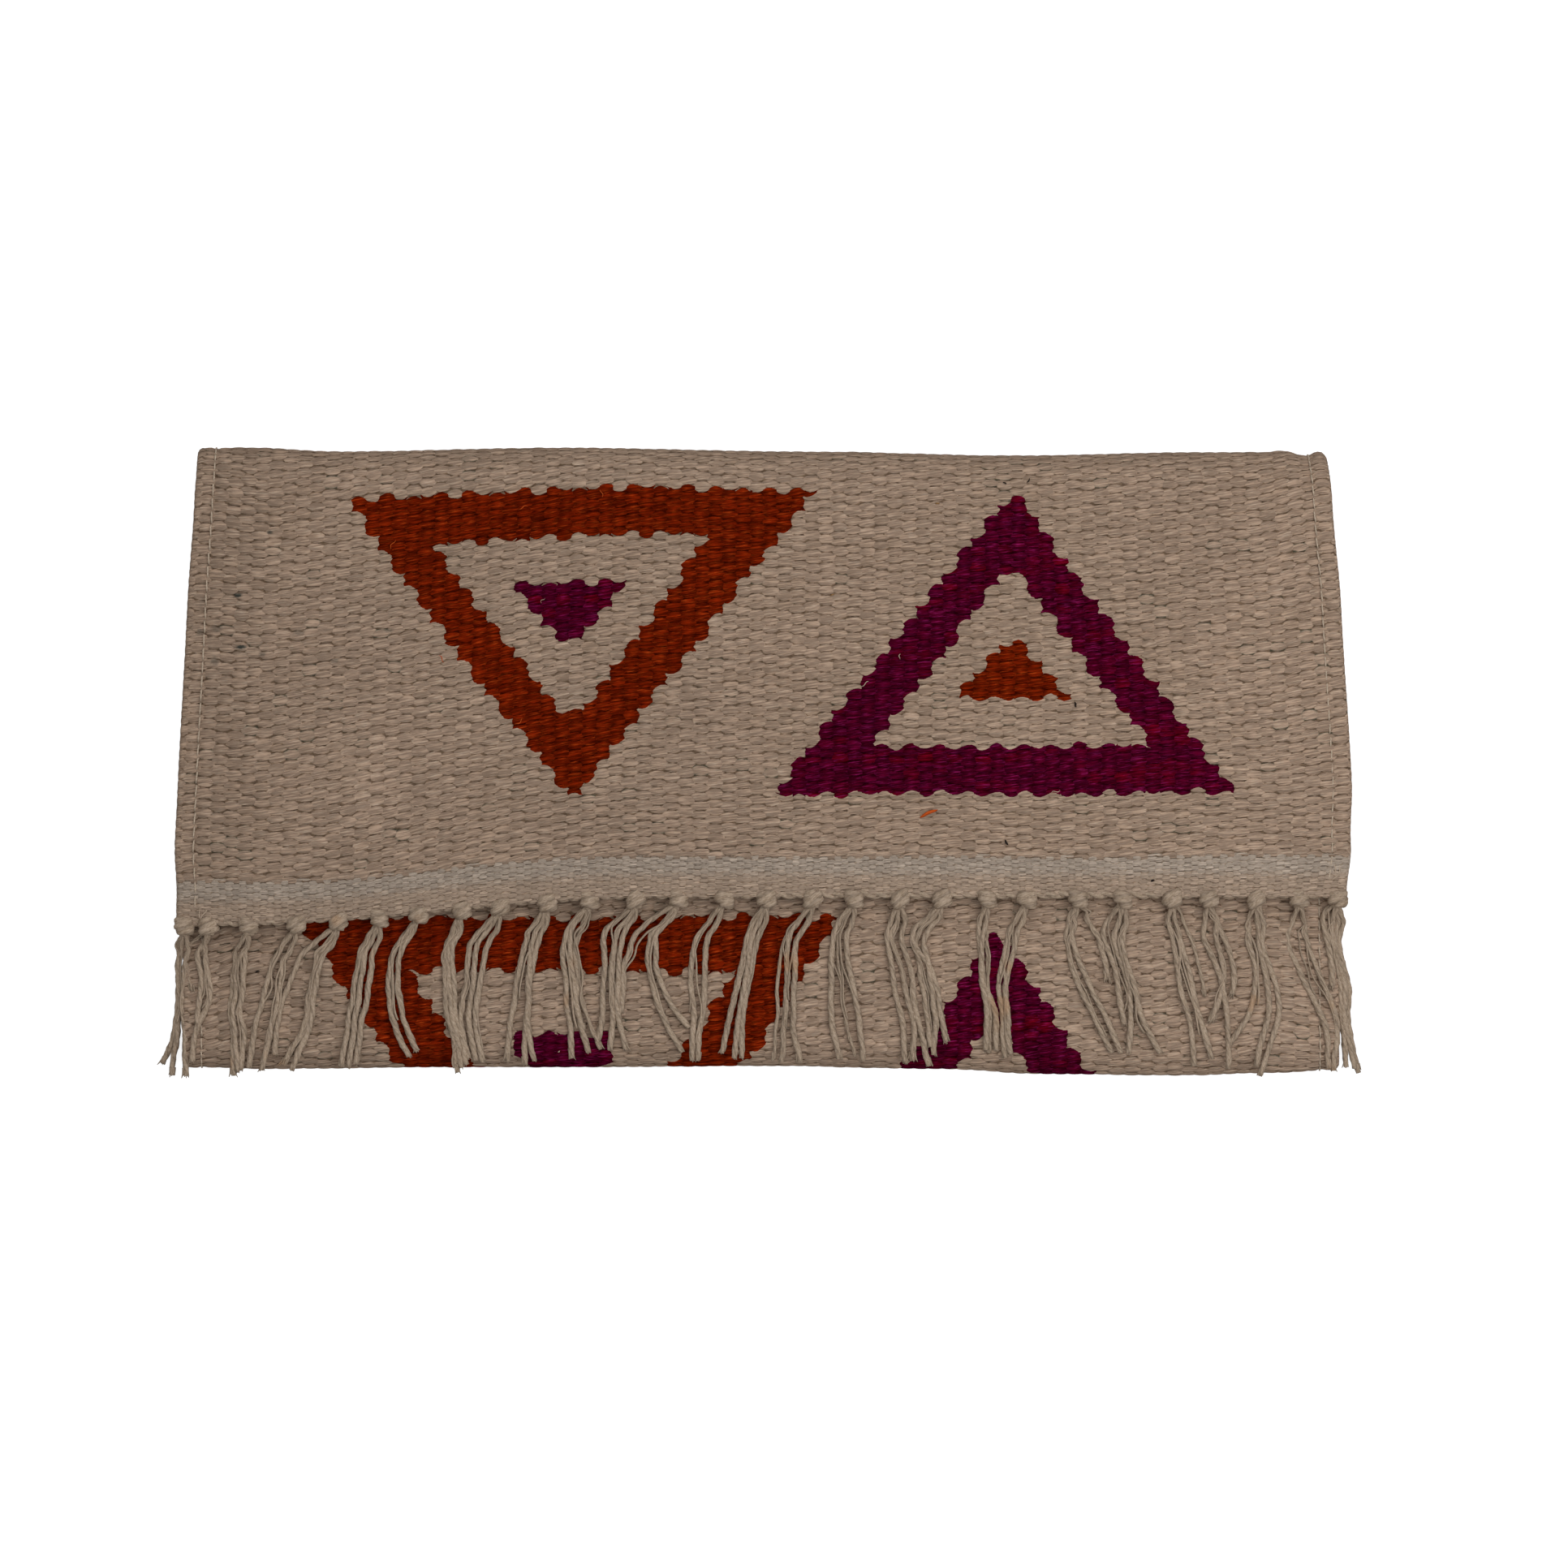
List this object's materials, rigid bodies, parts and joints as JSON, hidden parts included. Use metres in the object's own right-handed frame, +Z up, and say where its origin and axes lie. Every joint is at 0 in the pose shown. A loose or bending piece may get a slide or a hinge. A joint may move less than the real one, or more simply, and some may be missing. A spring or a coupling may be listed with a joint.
{
  "type": "woven clutch bag",
  "caption": "Flat fold-over clutch of thick woven cloth with stepped triangle motifs, a lined pocket under the flap and a knotted tassel fringe along the flap's edge.",
  "frame": {"origin": "centre of the back's outer face, on which the closed bag lies", "axes": "+X along the bag's width, +Y towards the top fold, +Z up out of the flap"},
  "size_m": [0.2882, 0.1511, 0.0181],
  "materials": {
    "ground_weft": "thick cream yarn, matte and slightly fuzzy",
    "orange_weft": "burnt orange wool, matte and fuzzy",
    "plum_weft": "dark plum wool, matte and fuzzy",
    "fringe": "twisted cream cotton warp ends, matte",
    "thread": "cream sewing thread",
    "lining": "plain thin cotton"
  },
  "bodies": {
    "root": {"woven_cloth": "ground_weft", "orange_triangle_flap": "orange_weft", "plum_centre_flap": "plum_weft", "plum_triangle_flap": "plum_weft", "orange_centre_flap": "orange_weft", "orange_triangle_lower": "orange_weft", "plum_centre_lower": "plum_weft", "plum_triangle_lower": "plum_weft", "orange_centre_lower": "orange_weft", "edge_stitching_left": "thread", "edge_stitching_right": "thread", "lining": "lining", "tassel_01": "fringe", "tassel_02": "fringe", "tassel_03": "fringe", "tassel_04": "fringe", "tassel_05": "fringe", "tassel_06": "fringe", "tassel_07": "fringe", "tassel_08": "fringe", "tassel_09": "fringe", "tassel_10": "fringe", "tassel_11": "fringe", "tassel_12": "fringe", "tassel_13": "fringe", "tassel_14": "fringe", "tassel_15": "fringe", "tassel_16": "fringe", "tassel_17": "fringe", "tassel_18": "fringe", "tassel_19": "fringe", "tassel_20": "fringe", "tassel_21": "fringe", "tassel_22": "fringe", "tassel_23": "fringe", "tassel_24": "fringe", "tassel_25": "fringe", "tassel_26": "fringe", "tassel_27": "fringe", "tassel_28": "fringe"}
  },
  "joints": []
}
